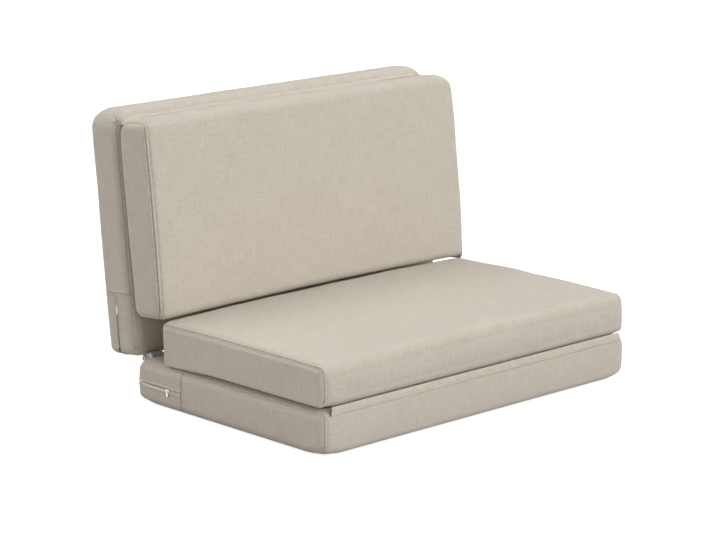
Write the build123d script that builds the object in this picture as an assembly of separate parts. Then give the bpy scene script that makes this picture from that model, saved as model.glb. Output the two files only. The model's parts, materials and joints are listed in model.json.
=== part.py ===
from build123d import *
from dataclasses import dataclass
import math
import os

# Folding chair bed: a base slab, a seat cushion on it, a back slab on two ratchet hinges
# and a back cushion in front of the back slab. Millimetres, X to the right as seen from the
# front, Y to the back, Z up. The origin is the middle of the base's flat underside.

# Driving sizes of the four sections
bed_width = 900
base_depth = 582
base_thickness = 95
seat_depth = 500
seat_thickness = 93
back_height = 522
back_thickness = 94
back_cushion_height = 416
back_cushion_thickness = 89

# How the sections stand to each other
recline_degrees = 5.927
hinge_drop = 6.55
hinge_inset = 1.1
flat_gap = 6
seat_gap = 0.5
cushion_to_back_gap = 8.7
cushion_lift = 88
seat_pivot_standoff = 4
seat_pivot_rise = 2.8
cushion_pivot_height = 517.5

# Rounding and fullness of the padded forms
slab_end_turn = 44
slab_edge_turn = 20
back_end_turn = 24
back_corner_turn = 46
slab_hinge_round = 28
slab_round = 20
cushion_round = 15
seat_rear_top_round = 22
seat_rear_bottom_round = 24
cushion_end_round = 25
cushion_low_front_round = 36
seat_crown = 2.5
seat_rise = 4.5
cushion_crown = 4
slab_bow = 1.5
cushion_bow = 3
floor_cut = 0.5
least_round = 3
turn_angles = (0, 30, 60, 90)
inner_station_share = 0.55
arc_middle_share = math.sqrt(0.5)

# Cloth, foam and zips
cloth = 1.2
foam_play = 0.3
strip_cloth = 1.6
strip_end_inset = 30
strip_low = 85
strip_high = 101
strip_setback = 0.6
top_strip_front = 22
top_strip_rear = 5
top_strip_front_height = 501.6
top_strip_rear_height = 510.6
top_strip_inset = 38
leaf_gap = 0.6
zip_slot = 7
coil_width = 3
coil_proud = 0.2
coil_depth = 1.2
tape_width = 12
tape_thickness = 0.6
tape_play = 0.1
tape_groove = 2.4
base_zip_height = 45
base_zip_start = 431
back_zip_setback = 50.6
back_zip_top = 133

# Zip sliders and pulls
slider_length = 11
slider_wall = 0.9
slider_plate = 1.3
slider_play = 0.3
slider_depth = 1.2
loop_height = 2.6
loop_length = 3
loop_wall = 0.9
loop_width = 1.8
base_pull_length = 13
back_pull_length = 22
pull_thickness = 1
pull_play = 0.3
pull_arm = 1
pull_drop = 3.4
pull_bar_radius = 0.45
pull_corner = 1.2
base_slider_place = 473
back_slider_place = 110

# Steel frames and slats
tube = 20
tube_wall = 1.5
tube_corner = 2
base_frame_margin = 29
back_frame_low = 32
back_frame_high = 38
frame_height = 47
slat_width = 58
slat_thickness = 8
slat_count = 5

# Ratchet hinge
hinge_outer = 25
arm_thickness = 3
arm_head_radius = 15.5
arm_radius = 10
axle_radius = 5
axle_bore_radius = 3.2
axle_overhang = 1.5
pin_play = 0.05
housing_radius = 16
housing_wall = 1.5
housing_length = 34
inner_arm_gap = 0.5
hub_play = 1.5
pocket_play = 0.4
disc_tip_radius = 9.8
disc_root_radius = 8
disc_width = 6
disc_teeth = 13
tooth_face_share = 1 / 6
disc_gap = 0.6
pawl_boss_radius = 1.6
pawl_nose_radius = 0.6
pawl_orbit = 12.2
pawl_nose_orbit = 11.4
pawl_pin_radius = 0.9
pawl_angle = 214
pawl_sweep = 26
spring_thickness = 0.3
rivet_radius = 2.6
rivet_height = 1.2
rivet_edge = 0.9
rivet_angle = 128
rivet_spacing = 10
rivet_count = 2
rivet_setback = 11
lower_knee = 42
lower_tail = 78
upper_knee_height = 72
upper_tail = 80
bolt_radius = 3
bolt_play = 0.1
bolt_head_radius = 5.2
bolt_head_height = 4
bolt_sides = 6
bolt_inset = 12
bolt_spacing = 48
nut_height = 5
overrun = 5
quarter_turn = 90

os.makedirs("parts", exist_ok=True)


@dataclass
class SoftForm:
    """A padded box: its size, the turns at its two ends and the fullness of its faces."""

    width: float
    depth: float
    height: float
    end_turn_y: float
    end_turn_z: float
    front_bottom: float
    rear_bottom: float
    rear_top: float
    front_top: float
    belly: float = 0
    rear_bow: float = 0
    crown: float = 0
    front_bow: float = 0
    rise: float = 0


base_form = SoftForm(
    width=bed_width,
    depth=base_depth,
    height=base_thickness + floor_cut,
    end_turn_y=slab_end_turn,
    end_turn_z=slab_edge_turn,
    front_bottom=cushion_round,
    rear_bottom=slab_round,
    rear_top=slab_hinge_round,
    front_top=slab_round,
    rear_bow=slab_bow,
    front_bow=slab_bow,
)
seat_form = SoftForm(
    width=bed_width,
    depth=seat_depth,
    height=seat_thickness,
    end_turn_y=slab_end_turn,
    end_turn_z=slab_edge_turn,
    front_bottom=cushion_round,
    rear_bottom=seat_rear_bottom_round,
    rear_top=seat_rear_top_round,
    front_top=slab_round,
    rear_bow=slab_bow,
    crown=seat_crown,
    front_bow=cushion_bow,
    rise=seat_rise,
)
back_form = SoftForm(
    width=bed_width,
    depth=back_thickness,
    height=back_height,
    end_turn_y=back_end_turn,
    end_turn_z=back_corner_turn,
    front_bottom=slab_hinge_round,
    rear_bottom=slab_round,
    rear_top=slab_hinge_round,
    front_top=slab_hinge_round,
    belly=slab_bow,
    rear_bow=slab_bow,
    crown=slab_bow,
)
back_cushion_form = SoftForm(
    width=bed_width,
    depth=back_cushion_thickness,
    height=back_cushion_height,
    end_turn_y=back_end_turn,
    end_turn_z=back_corner_turn,
    front_bottom=cushion_low_front_round,
    rear_bottom=cushion_end_round,
    rear_top=cushion_end_round,
    front_top=cushion_end_round,
    crown=slab_bow,
    front_bow=cushion_crown,
)


def turned_in(radius, from_end):
    """How far a rounded end draws a face in, at a distance from the end."""
    if from_end >= radius:
        return 0
    return radius - math.sqrt(radius**2 - (radius - from_end) ** 2)


def bowed(start, end, push_y, push_z):
    """An edge from start to end, its middle pushed out where the face is full."""
    if push_y == 0 and push_z == 0:
        return Line(start, end)
    middle = (start + end) / 2 + Vector(0, push_y, push_z)
    return ThreePointArc(start, middle, end)


def section(form, x, inset):
    """The outline of a padded form across its width, drawn in by the inset."""
    half = form.width / 2 - inset
    from_end = half - abs(x)
    y_turn = turned_in(form.end_turn_y - inset, from_end)
    z_turn = turned_in(form.end_turn_z - inset, from_end)
    fullness = 1 - (x / half) ** 2
    front = inset + y_turn
    rear = form.depth - inset - y_turn
    bottom = inset + z_turn
    top = form.height - inset - z_turn + form.rise * fullness
    rounds = (form.front_bottom, form.rear_bottom, form.rear_top, form.front_top)
    drawn = inset + min(y_turn, z_turn)
    low_front, low_rear, high_rear, high_front = [max(r - drawn, least_round) for r in rounds]
    corners = [
        (front + low_front, bottom + low_front, low_front, -1, -1),
        (rear - low_rear, bottom + low_rear, low_rear, 1, -1),
        (rear - high_rear, top - high_rear, high_rear, 1, 1),
        (front + high_front, top - high_front, high_front, -1, 1),
    ]
    edges = []
    pushes = [
        (0, -form.belly * fullness),
        (form.rear_bow * fullness, 0),
        (0, form.crown * fullness),
        (-form.front_bow * fullness, 0),
    ]
    for index, (y, z, radius, y_side, z_side) in enumerate(corners):
        centre = Vector(x, y, z)
        side_point = centre + Vector(0, y_side * radius, 0)
        level_point = centre + Vector(0, 0, z_side * radius)
        start, end = (side_point, level_point) if index % 2 == 0 else (level_point, side_point)
        reach = radius * arc_middle_share
        middle = centre + Vector(0, y_side * reach, z_side * reach)
        edges.append(ThreePointArc(start, middle, end))
        next_y, next_z, next_radius, next_y_side, next_z_side = corners[(index + 1) % 4]
        next_centre = Vector(x, next_y, next_z)
        if index % 2 == 0:
            next_start = next_centre + Vector(0, 0, next_z_side * next_radius)
        else:
            next_start = next_centre + Vector(0, next_y_side * next_radius, 0)
        edges.append(bowed(end, next_start, *pushes[index]))
    return Face(Wire(edges))


def stations(form, inset):
    """Places across the width: close together in the end turns, wide apart between them."""
    half = form.width / 2 - inset
    turn = max(form.end_turn_y, form.end_turn_z) - inset
    right = [half - turn * (1 - math.cos(math.radians(angle))) for angle in turn_angles]
    right.append(half * inner_station_share)
    return [-x for x in right] + [0] + right[::-1]


def padded(form, inset=0):
    """A padded form as one loft across its width, its front at Y 0 and its underside at Z 0."""
    sections = [section(form, x, inset) for x in stations(form, inset)]
    return loft(sections, ruled=True)


def block(width, depth, height, x=0, y=0, z=0):
    """A box by its middle in X and its lowest Y and Z."""
    return Pos(x, y + depth / 2, z + height / 2) * Box(width, depth, height)


def strap(points, radii):
    """A flat outline that joins circles one after another."""
    outline = None
    for index in range(len(points) - 1):
        first = (Pos(*points[index]) * Circle(radii[index])).edges()
        second = (Pos(*points[index + 1]) * Circle(radii[index + 1])).edges()
        piece = make_hull(first + second)
        outline = piece if outline is None else outline + piece
    return outline


def across(outline, start, length):
    """An outline drawn in Y and Z, given a length along X from a start."""
    return extrude(Plane.YZ.offset(start) * outline, amount=length)


def rod(radius, start, length, y, z):
    """A round bar along X."""
    return across(Pos(y, z) * Circle(radius), start, length)


def both_sides(piece):
    """A left piece and its mirror image on the right."""
    return piece, mirror(piece, about=Plane.YZ)


# The hinge axis is the origin of the back's own frame, in which it is drawn upright.
back_front = -hinge_drop
back_bottom = hinge_inset + flat_gap
hinge_y = base_depth / 2 - hinge_inset
hinge_z = base_thickness - hinge_drop
base_front = -base_depth / 2
half_width = bed_width / 2
hinge_place = Pos(0, hinge_y, hinge_z)
back_place = hinge_place * Rot(-recline_degrees, 0, 0)
seat_bottom = base_thickness + seat_gap
cushion_front = back_front - cushion_to_back_gap - back_cushion_thickness
cushion_bottom = back_bottom + cushion_lift
seat_pivot = (base_front - seat_pivot_standoff, base_thickness + seat_pivot_rise)
cushion_pivot = (back_front - cushion_to_back_gap / 2, back_bottom + cushion_pivot_height)


def base_padding(inset):
    return Pos(0, base_front, -floor_cut) * padded(base_form, inset)


def back_padding(inset):
    return Pos(0, back_front, back_bottom) * padded(back_form, inset)


def seat_padding(inset):
    return Pos(0, base_front, seat_bottom) * padded(seat_form, inset)


def back_cushion_padding(inset):
    return Pos(0, cushion_front, cushion_bottom) * padded(back_cushion_form, inset)


# The hinge, drawn on the left with its axis through Y 0 and Z 0
outer_arm_start = -half_width + hinge_outer
housing_start = outer_arm_start + arm_thickness
inner_arm_start = housing_start + housing_length + inner_arm_gap
disc_start = housing_start + disc_gap
hub_length = inner_arm_start + arm_thickness - outer_arm_start
knee_y = base_depth / 2 - lower_knee - hinge_y
knee_z = frame_height - hinge_z
tail_y = knee_y - lower_tail
upper_knee_y = back_front + back_thickness / 2
upper_tail_z = upper_knee_height + upper_tail
back_frame_middle = back_front + back_thickness / 2
base_frame_half_width = -(outer_arm_start + arm_thickness)
back_frame_half_width = -(inner_arm_start + arm_thickness)
slider_foot = slider_play + slider_plate
pull_stand = slider_foot + (loop_height - loop_wall) / 2


def lower_arm(growth=0):
    """The outer arm: its head on the axle and its tail along the base frame's side tube."""
    points = [(0, 0), (knee_y, knee_z), (tail_y, knee_z)]
    radii = [arm_head_radius + growth, arm_radius + growth, arm_radius + growth]
    start = outer_arm_start - growth
    return across(strap(points, radii), start, arm_thickness + 2 * growth)


def upper_arm(growth=0):
    """The inner arm: its head on the axle and its tail along the back frame's side tube."""
    points = [(0, 0), (upper_knee_y, upper_knee_height), (upper_knee_y, upper_tail_z)]
    radii = [arm_head_radius - housing_wall + growth, arm_radius + growth, arm_radius + growth]
    start = inner_arm_start - growth
    return across(strap(points, radii), start, arm_thickness + 2 * growth)


def lower_bolt_places():
    return [(tail_y + bolt_inset, knee_z), (tail_y + bolt_inset + bolt_spacing, knee_z)]


def upper_bolt_places():
    low = upper_knee_height + bolt_inset
    return [(upper_knee_y, low), (upper_knee_y, low + bolt_spacing)]


def holes(places, radius, start, length):
    """Round holes or bars along X at several places."""
    bars = [rod(radius, start, length, y, z) for y, z in places]
    joined = bars[0]
    for bar in bars[1:]:
        joined = joined + bar
    return joined


def hexagon(start, height, y, z):
    """A bolt's head or a nut, its axis along X."""
    return across(Pos(y, z) * RegularPolygon(bolt_head_radius, bolt_sides), start, height)


def bolts(places, arm_start):
    """Hexagon bolts through an arm and a side tube, with a nut on the inner side."""
    grip = arm_thickness + tube
    head_start = arm_start - bolt_head_height
    pieces = []
    for y, z in places:
        head = hexagon(head_start, bolt_head_height, y, z)
        shank = rod(bolt_radius, head_start, bolt_head_height + grip + nut_height, y, z)
        nut = hexagon(arm_start + grip, nut_height, y, z)
        pieces.append(head + shank + nut)
    return pieces


def bolt_pockets(places, arm_start):
    """Room in the foam for the bolts' heads and nuts."""
    start = arm_start - bolt_head_height - pocket_play
    length = arm_thickness + tube + nut_height + bolt_head_height + 2 * pocket_play
    return holes(places, bolt_head_radius + pocket_play, start, length)


def orbit(angle_degrees, radius):
    angle = math.radians(angle_degrees)
    return (radius * math.cos(angle), radius * math.sin(angle))


pawl_pin_place = orbit(pawl_angle, pawl_orbit)


def bolt_holes(places, arm_start):
    """Holes for the bolts, right through an arm and the side tube behind it."""
    length = arm_thickness + tube + 2 * overrun
    return holes(places, bolt_radius + bolt_play, arm_start - overrun, length)


def make_lower_arm():
    start = outer_arm_start - overrun
    length = arm_thickness + 2 * overrun
    arm = lower_arm() - rod(axle_radius + pin_play, start, length, 0, 0)
    arm = arm - rod(pawl_pin_radius, start, length, *pawl_pin_place)
    return arm - bolt_holes(lower_bolt_places(), outer_arm_start)


def make_upper_arm():
    arm = upper_arm() - rod(axle_radius, inner_arm_start - overrun, arm_thickness + 2 * overrun, 0, 0)
    return arm - bolt_holes(upper_bolt_places(), inner_arm_start)


def make_housing():
    """A dark steel sleeve round the ratchet, fixed to the lower arm's inner face."""
    sleeve = rod(housing_radius, housing_start, housing_length, 0, 0)
    bore = rod(housing_radius - housing_wall, housing_start, housing_length - housing_wall, 0, 0)
    end_bore = rod(axle_radius + pocket_play, housing_start, housing_length + overrun, 0, 0)
    return sleeve - bore - end_bore


def make_disc():
    """A toothed disc on the axle: each tooth has a steep face and a long back."""
    points = []
    step = 360 / disc_teeth
    for tooth in range(disc_teeth):
        points.append(orbit(tooth * step, disc_tip_radius))
        points.append(orbit((tooth + tooth_face_share) * step, disc_root_radius))
    outline = make_face(Polyline(*points, close=True)) - Circle(axle_radius)
    return across(outline, disc_start, disc_width)


def make_pawl():
    nose = orbit(pawl_angle - pawl_sweep, pawl_nose_orbit)
    outline = strap([pawl_pin_place, nose], [pawl_boss_radius, pawl_nose_radius])
    outline = outline - Pos(*pawl_pin_place) * Circle(pawl_pin_radius + pin_play)
    return across(outline, disc_start, disc_width)


def make_pawl_pin():
    return rod(pawl_pin_radius, outer_arm_start, arm_thickness + disc_gap + disc_width, *pawl_pin_place)


def make_pawl_spring():
    """A leaf that follows the housing's wall behind the pawl."""
    outer = housing_radius - housing_wall
    ring = Circle(outer) - Circle(outer - spring_thickness)
    start = orbit(pawl_angle - pawl_sweep, housing_radius + overrun)
    end = orbit(pawl_angle + pawl_sweep, housing_radius + overrun)
    wedge = make_face(Polyline((0, 0), start, end, close=True))
    return across(ring & wedge, disc_start, disc_width)


def make_rivets():
    """Round-headed rivets in a row on the housing, towards the front and top."""
    head = Pos(0, 0, rivet_height / 2) * Cylinder(rivet_radius, rivet_height)
    head = fillet(head.edges().group_by(Axis.Z)[-1], rivet_edge)
    on_housing = Rot(rivet_angle - quarter_turn, 0, 0) * Pos(0, 0, housing_radius) * head
    places = [outer_arm_start + rivet_setback + index * rivet_spacing for index in range(rivet_count)]
    return [Pos(x, 0, 0) * on_housing for x in places]


def make_axle():
    """One hollow axle through both hinges, its ends open."""
    reach = half_width - hinge_outer + axle_overhang
    bar = rod(axle_radius, -reach, 2 * reach, 0, 0)
    return bar - rod(axle_bore_radius, -reach - overrun, 2 * (reach + overrun), 0, 0)


def hub_room():
    """Room for one hinge in the padding beside it."""
    start = outer_arm_start - hub_play
    return rod(housing_radius + hub_play, start, hub_length + 2 * hub_play, 0, 0)


def frame_ring(half, length):
    """A welded ring of square tube lying flat, its front at Y 0 and its underside at Z 0."""
    wall_half = half - tube + tube_wall
    wall_length = length - 2 * (tube - tube_wall)
    outer = fillet(block(2 * half, length, tube).edges().filter_by(Axis.Z), tube_corner)
    window = block(2 * (half - tube), length - 2 * tube, tube, 0, tube)
    core_height = tube - 2 * tube_wall
    core = block(2 * (half - tube_wall), length - 2 * tube_wall, core_height, 0, tube_wall, tube_wall)
    core_window = block(2 * wall_half, wall_length, tube, 0, tube - tube_wall)
    return outer - window - (core - core_window)


def frame_room(half, length):
    """Room for a frame ring in the foam, with play all round and under it."""
    height = tube + pocket_play
    outer = block(2 * (half + pocket_play), length + 2 * pocket_play, height, 0, -pocket_play, -pocket_play)
    inner_half = half - tube - pocket_play
    inner_length = length - 2 * (tube + pocket_play)
    return outer - block(2 * inner_half, inner_length, height, 0, tube + pocket_play, -pocket_play)


base_frame_front = base_front + base_frame_margin
base_frame_depth = base_depth - 2 * base_frame_margin
base_frame_bottom = frame_height - tube / 2
base_slat_bottom = base_frame_bottom + tube
back_frame_bottom = back_bottom + back_frame_low
back_frame_length = back_height - back_frame_low - back_frame_high
back_frame_front = back_frame_middle - tube / 2
back_slat_front = back_frame_front - slat_thickness
base_frame_place = Pos(0, base_frame_front, base_frame_bottom)
back_frame_place = Pos(0, back_frame_front + tube, back_frame_bottom) * Rot(quarter_turn, 0, 0)


def base_slats():
    """Wooden slats across the base frame, evenly spread between its end tubes."""
    pitch = (base_frame_depth - slat_width) / (slat_count - 1)
    slats = []
    for index in range(slat_count):
        y = base_frame_front + index * pitch
        slats.append(block(2 * base_frame_half_width, slat_width, slat_thickness, 0, y, base_slat_bottom))
    return slats


def back_slats():
    pitch = (back_frame_length - slat_width) / (slat_count - 1)
    slats = []
    for index in range(slat_count):
        z = back_frame_bottom + index * pitch
        slats.append(block(2 * back_frame_half_width, slat_thickness, slat_width, 0, back_slat_front, z))
    return slats


def minus_all(piece, cutters):
    for cutter in cutters:
        piece = piece - cutter
    return piece


def base_cuts():
    """What the left and right hinge take out of the base's cloth and foam."""
    cuts = []
    for room in (hub_room(), lower_arm(pocket_play)):
        cuts.extend(both_sides(hinge_place * room))
    return cuts


def back_cuts():
    cuts = []
    for room in (hub_room(), upper_arm(pocket_play)):
        cuts.extend(both_sides(room))
    return cuts


def band(low, high, box):
    """The layer of a padded form between two depths, inside a box."""
    return (low - high) & box


def base_zip_box(width):
    y = base_front + base_zip_start
    return block(bed_width + 2 * overrun, base_depth, width, 0, y, base_zip_height - width / 2)


def back_zip_box(width):
    y = back_front + back_zip_setback - width / 2
    return block(bed_width + 2 * overrun, width, back_zip_top + overrun, 0, y, back_bottom - overrun)


def cover_with_zip(outer, inner, cuts, zip_box):
    cover = outer - inner
    return minus_all(cover, cuts) - zip_box(zip_slot)


def zip_layers(padding, zip_box):
    """The tape under the cloth and the coil that fills the slot between the cloth's edges."""
    tape_outer = cloth + tape_play
    tape = band(padding(tape_outer), padding(tape_outer + tape_thickness), zip_box(tape_width))
    coil_inner = coil_proud + coil_depth - tape_play
    coil = band(padding(coil_proud), padding(coil_inner), zip_box(coil_width))
    return tape, coil


def zip_groove(outer, padding, zip_box):
    """Room in the foam for the zip's tape."""
    return band(outer, padding(tape_groove), zip_box(tape_width + 2 * foam_play))


def on_the_floor(piece):
    """A piece cut flat where the base stands on the floor."""
    return piece - block(2 * bed_width, 2 * base_depth, base_thickness, 0, -base_depth, -base_thickness)


def make_base_soft():
    outer = on_the_floor(base_padding(0))
    cover = cover_with_zip(outer, base_padding(cloth), base_cuts(), base_zip_box)
    tape, coil = zip_layers(base_padding, base_zip_box)
    foam = base_padding(cloth + foam_play) - zip_groove(outer, base_padding, base_zip_box)
    foam = minus_all(foam, base_cuts())
    foam = minus_all(foam, both_sides(hinge_place * bolt_pockets(lower_bolt_places(), outer_arm_start)))
    upper_space = block(2 * bed_width, 2 * base_depth, base_thickness, 0, -base_depth, base_slat_bottom)
    lower = foam - upper_space - base_frame_place * frame_room(base_frame_half_width, base_frame_depth)
    upper = minus_all(foam & upper_space, base_slats())
    return cover, tape, coil, lower, upper


def make_back_soft():
    outer = back_padding(0)
    cover = cover_with_zip(outer, back_padding(cloth), back_cuts(), back_zip_box)
    tape, coil = zip_layers(back_padding, back_zip_box)
    foam = back_padding(cloth + foam_play) - zip_groove(outer, back_padding, back_zip_box)
    foam = minus_all(foam, back_cuts())
    foam = minus_all(foam, both_sides(bolt_pockets(upper_bolt_places(), inner_arm_start)))
    rear_space = block(2 * bed_width, back_thickness, 2 * back_height, 0, back_frame_front, -back_height / 2)
    room = back_frame_place * frame_room(back_frame_half_width, back_frame_length)
    rear = (foam & rear_space) - room
    front = minus_all(foam - rear_space, back_slats())
    return cover, tape, coil, front, rear


def make_slider(loop_turn):
    """A zip slider: a plate over the coil, a wall each side of it and a loop for the pull.

    Drawn with the zip along Z, the slider's middle at Z 0, its outer side towards +Y and
    the cloth's face at Y 0. The loop is turned so that the pull hangs down."""
    inner_half = coil_width / 2 + slider_play
    low = -slider_length / 2
    plate = block(2 * (inner_half + slider_wall), slider_plate, slider_length, 0, slider_play, low)
    plate = fillet(plate.edges().filter_by(Axis.Y), slider_plate)
    body = plate
    wall_length = slider_length - 2 * slider_plate
    wall_y = slider_play - slider_depth
    for side in (-1, 1):
        x = side * (inner_half + slider_wall / 2)
        body = body + block(slider_wall, slider_depth, wall_length, x, wall_y, low + slider_plate)
    hole_low = -loop_length / 2
    loop = block(loop_width, loop_height, loop_length + 2 * loop_wall, 0, slider_foot, hole_low - loop_wall)
    hole = block(2 * loop_width, loop_height - loop_wall, loop_length, 0, slider_foot, hole_low)
    return body + Rot(0, loop_turn, 0) * (loop - hole)


def make_pull(length):
    """A pull: a bar through the slider's loop, two arms beside it and a flat tab below.

    Drawn hanging down from the bar, which lies along X through the origin."""
    arm_x = loop_width / 2 + pull_play + pull_arm / 2
    bar_reach = 2 * arm_x + pull_arm
    pull = Rot(0, quarter_turn, 0) * Cylinder(pull_bar_radius, bar_reach)
    face = -pull_thickness / 2
    arm_length = pull_drop + pull_thickness
    for side in (-1, 1):
        pull = pull + block(pull_arm, pull_thickness, arm_length, side * arm_x, face, face - pull_drop)
    tab = block(bar_reach, pull_thickness, length - pull_drop, 0, face, -length)
    tab = fillet(tab.edges().filter_by(Axis.Y), pull_corner)
    return pull + tab


def on_left_side(piece, y, z, turn=0, proud=0):
    """Stand a piece drawn on a +Y face onto the left side, which looks towards -X."""
    return Pos(-half_width - proud, y, z) * Rot(turn, 0, 0) * Rot(0, 0, quarter_turn) * piece


def hinge_strip_leaves():
    """The front strip: one leaf on the base, one on the seat cushion."""
    width = bed_width - 2 * strip_end_inset
    y = base_front + strip_setback
    low_top = seat_pivot[1] - leaf_gap / 2
    high_bottom = seat_pivot[1] + leaf_gap / 2
    low = block(width, strip_cloth, low_top - strip_low, 0, y, strip_low)
    high = block(width, strip_cloth, strip_high - high_bottom, 0, y, high_bottom)
    return low, high


def top_strip_leaves():
    """The top strip, sloping up from the back cushion to the back slab, in two leaves."""
    slope = (top_strip_rear_height - top_strip_front_height) / (top_strip_rear + top_strip_front)
    middle = -cushion_to_back_gap / 2
    spans = [(-top_strip_front, middle - leaf_gap / 2), (middle + leaf_gap / 2, top_strip_rear)]
    leaves = []
    for near, far in spans:
        near_z = top_strip_front_height + slope * (near + top_strip_front)
        far_z = top_strip_front_height + slope * (far + top_strip_front)
        corners = [(near, near_z), (far, far_z), (far, far_z + strip_cloth), (near, near_z + strip_cloth)]
        outline = make_face(Polyline(*corners, close=True))
        leaf = across(outline, -half_width + top_strip_inset, bed_width - 2 * top_strip_inset)
        leaves.append(Pos(0, back_front, back_bottom) * leaf)
    return leaves


def export(name, piece):
    if isinstance(piece, (list, tuple)):
        piece = Compound(children=list(piece)) if len(piece) > 1 else piece[0]
    export_step(piece, f"parts/{name}.step")


def export_base():
    base_cover, base_tape, base_coil, low_foam, high_foam = make_base_soft()
    export("base_cover", base_cover)
    export("base_zip_tape", base_tape)
    export("base_zip_coil", base_coil)
    export("base_foam_lower", low_foam)
    export("base_foam_upper", high_foam)
    frame = base_frame_place * frame_ring(base_frame_half_width, base_frame_depth)
    drilling = hinge_place * bolt_holes(lower_bolt_places(), outer_arm_start)
    export("base_frame", minus_all(frame, both_sides(drilling)))
    export("base_slats", base_slats())


def export_back():
    back_cover, back_tape, back_coil, front_foam, rear_foam = make_back_soft()
    export("back_cover", back_place * back_cover)
    export("back_zip_tape", back_place * back_tape)
    export("back_zip_coil", back_place * back_coil)
    export("back_foam_front", back_place * front_foam)
    export("back_foam_rear", back_place * rear_foam)
    frame = back_frame_place * frame_ring(back_frame_half_width, back_frame_length)
    drilling = bolt_holes(upper_bolt_places(), inner_arm_start)
    export("back_frame", back_place * minus_all(frame, both_sides(drilling)))
    export("back_slats", [back_place * slat for slat in back_slats()])


def export_cushions():
    play = cloth + foam_play
    export("seat_cushion_cover", seat_padding(0) - seat_padding(cloth))
    export("seat_cushion_foam", seat_padding(play))
    export("back_cushion_cover", back_place * (back_cushion_padding(0) - back_cushion_padding(cloth)))
    export("back_cushion_foam", back_place * back_cushion_padding(play))


def export_hinges():
    for index, side in enumerate(("left", "right")):
        export(f"hinge_lower_arm_{side}", hinge_place * both_sides(make_lower_arm())[index])
        export(f"hinge_housing_{side}", hinge_place * both_sides(make_housing())[index])
        export(f"hinge_upper_arm_{side}", back_place * both_sides(make_upper_arm())[index])
        export(f"ratchet_disc_{side}", back_place * both_sides(make_disc())[index])
        export(f"pawl_{side}", hinge_place * both_sides(make_pawl())[index])
        export(f"pawl_pin_{side}", hinge_place * both_sides(make_pawl_pin())[index])
        export(f"pawl_spring_{side}", hinge_place * both_sides(make_pawl_spring())[index])
    rivets = [hinge_place * piece for rivet in make_rivets() for piece in both_sides(rivet)]
    export("housing_rivets", rivets)
    lower_bolts = bolts(lower_bolt_places(), outer_arm_start)
    export("base_frame_bolts", [hinge_place * piece for bolt in lower_bolts for piece in both_sides(bolt)])
    upper_bolts = bolts(upper_bolt_places(), inner_arm_start)
    export("back_frame_bolts", [back_place * piece for bolt in upper_bolts for piece in both_sides(bolt)])
    export("hinge_axle", back_place * make_axle())


def export_strips():
    low_leaf, high_leaf = hinge_strip_leaves()
    export("front_strip_lower", low_leaf)
    export("front_strip_upper", high_leaf)
    cushion_leaf, back_leaf = top_strip_leaves()
    export("top_strip_front", back_place * cushion_leaf)
    export("top_strip_rear", back_place * back_leaf)


def export_zip_sliders():
    base_y = base_front + base_slider_place
    base_slider = on_left_side(make_slider(quarter_turn), base_y, base_zip_height, -quarter_turn)
    export("base_zip_slider", base_slider)
    base_pull = make_pull(base_pull_length)
    export("base_zip_pull", on_left_side(base_pull, base_y, base_zip_height, 0, pull_stand))
    back_y = back_front + back_zip_setback
    back_z = back_bottom + back_slider_place
    export("back_zip_slider", back_place * on_left_side(make_slider(0), back_y, back_z))
    back_pull = on_left_side(make_pull(back_pull_length), back_y, back_z, 0, pull_stand)
    export("back_zip_pull", back_place * back_pull)


def main():
    export_base()
    export_back()
    export_cushions()
    export_hinges()
    export_strips()
    export_zip_sliders()
    print("hinge axis", hinge_y, hinge_z)
    print("seat pivot", seat_pivot)
    print("cushion pivot", cushion_pivot)


main()
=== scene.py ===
import json
import math

import bmesh
import bpy
import numpy as np
from mathutils import Matrix, Vector
from mathutils.bvhtree import BVHTree


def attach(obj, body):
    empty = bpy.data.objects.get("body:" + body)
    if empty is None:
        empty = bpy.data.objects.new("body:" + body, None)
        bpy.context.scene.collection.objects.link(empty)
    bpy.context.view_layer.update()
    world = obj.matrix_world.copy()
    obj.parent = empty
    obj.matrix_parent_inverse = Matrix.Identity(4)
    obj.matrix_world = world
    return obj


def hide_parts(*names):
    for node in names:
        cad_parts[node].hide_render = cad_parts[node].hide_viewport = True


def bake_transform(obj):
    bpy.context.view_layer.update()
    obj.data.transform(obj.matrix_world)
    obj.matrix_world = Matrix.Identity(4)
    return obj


# Folding chair bed in woven cloth: four padded sections, two cloth strips, zips and ratchet hinges.
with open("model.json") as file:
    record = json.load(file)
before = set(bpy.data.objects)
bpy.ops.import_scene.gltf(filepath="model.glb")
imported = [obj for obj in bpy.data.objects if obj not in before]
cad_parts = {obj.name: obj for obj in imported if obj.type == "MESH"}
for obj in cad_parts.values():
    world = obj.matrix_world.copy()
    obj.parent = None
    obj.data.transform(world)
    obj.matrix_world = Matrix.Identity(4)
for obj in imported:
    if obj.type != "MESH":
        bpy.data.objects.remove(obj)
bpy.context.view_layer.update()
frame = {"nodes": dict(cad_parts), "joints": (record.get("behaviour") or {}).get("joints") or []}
mm = 0.001
joints = {joint["name"]: joint for joint in frame["joints"]}
print("frame loaded")

def inMm(value):
    """A length given in millimetres, or a tuple or dictionary of them, in metres."""
    if isinstance(value, dict):
        return {name: inMm(each) for name, each in value.items()}
    if isinstance(value, tuple):
        return tuple(inMm(each) for each in value)
    return value * mm


def addObject(name, data):
    obj = bpy.data.objects.new(name, data)
    bpy.context.scene.collection.objects.link(obj)
    return obj


def shapedMesh(obj):
    """An object's mesh with its modifiers worked in."""
    graph = bpy.context.evaluated_depsgraph_get()
    return bpy.data.meshes.new_from_object(obj.evaluated_get(graph))


def feed(tree, node, values):
    """Gives a node's inputs their values, or links them where the value is another node's output."""
    for name, value in values.items():
        if isinstance(value, bpy.types.NodeSocket):
            tree.links.new(value, node.inputs[name])
        else:
            node.inputs[name].default_value = value


def addNode(tree, kind, values=None, **settings):
    node = tree.nodes.new(kind)
    for name, value in settings.items():
        setattr(node, name, value)
    feed(tree, node, values or {})
    return node


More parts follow.
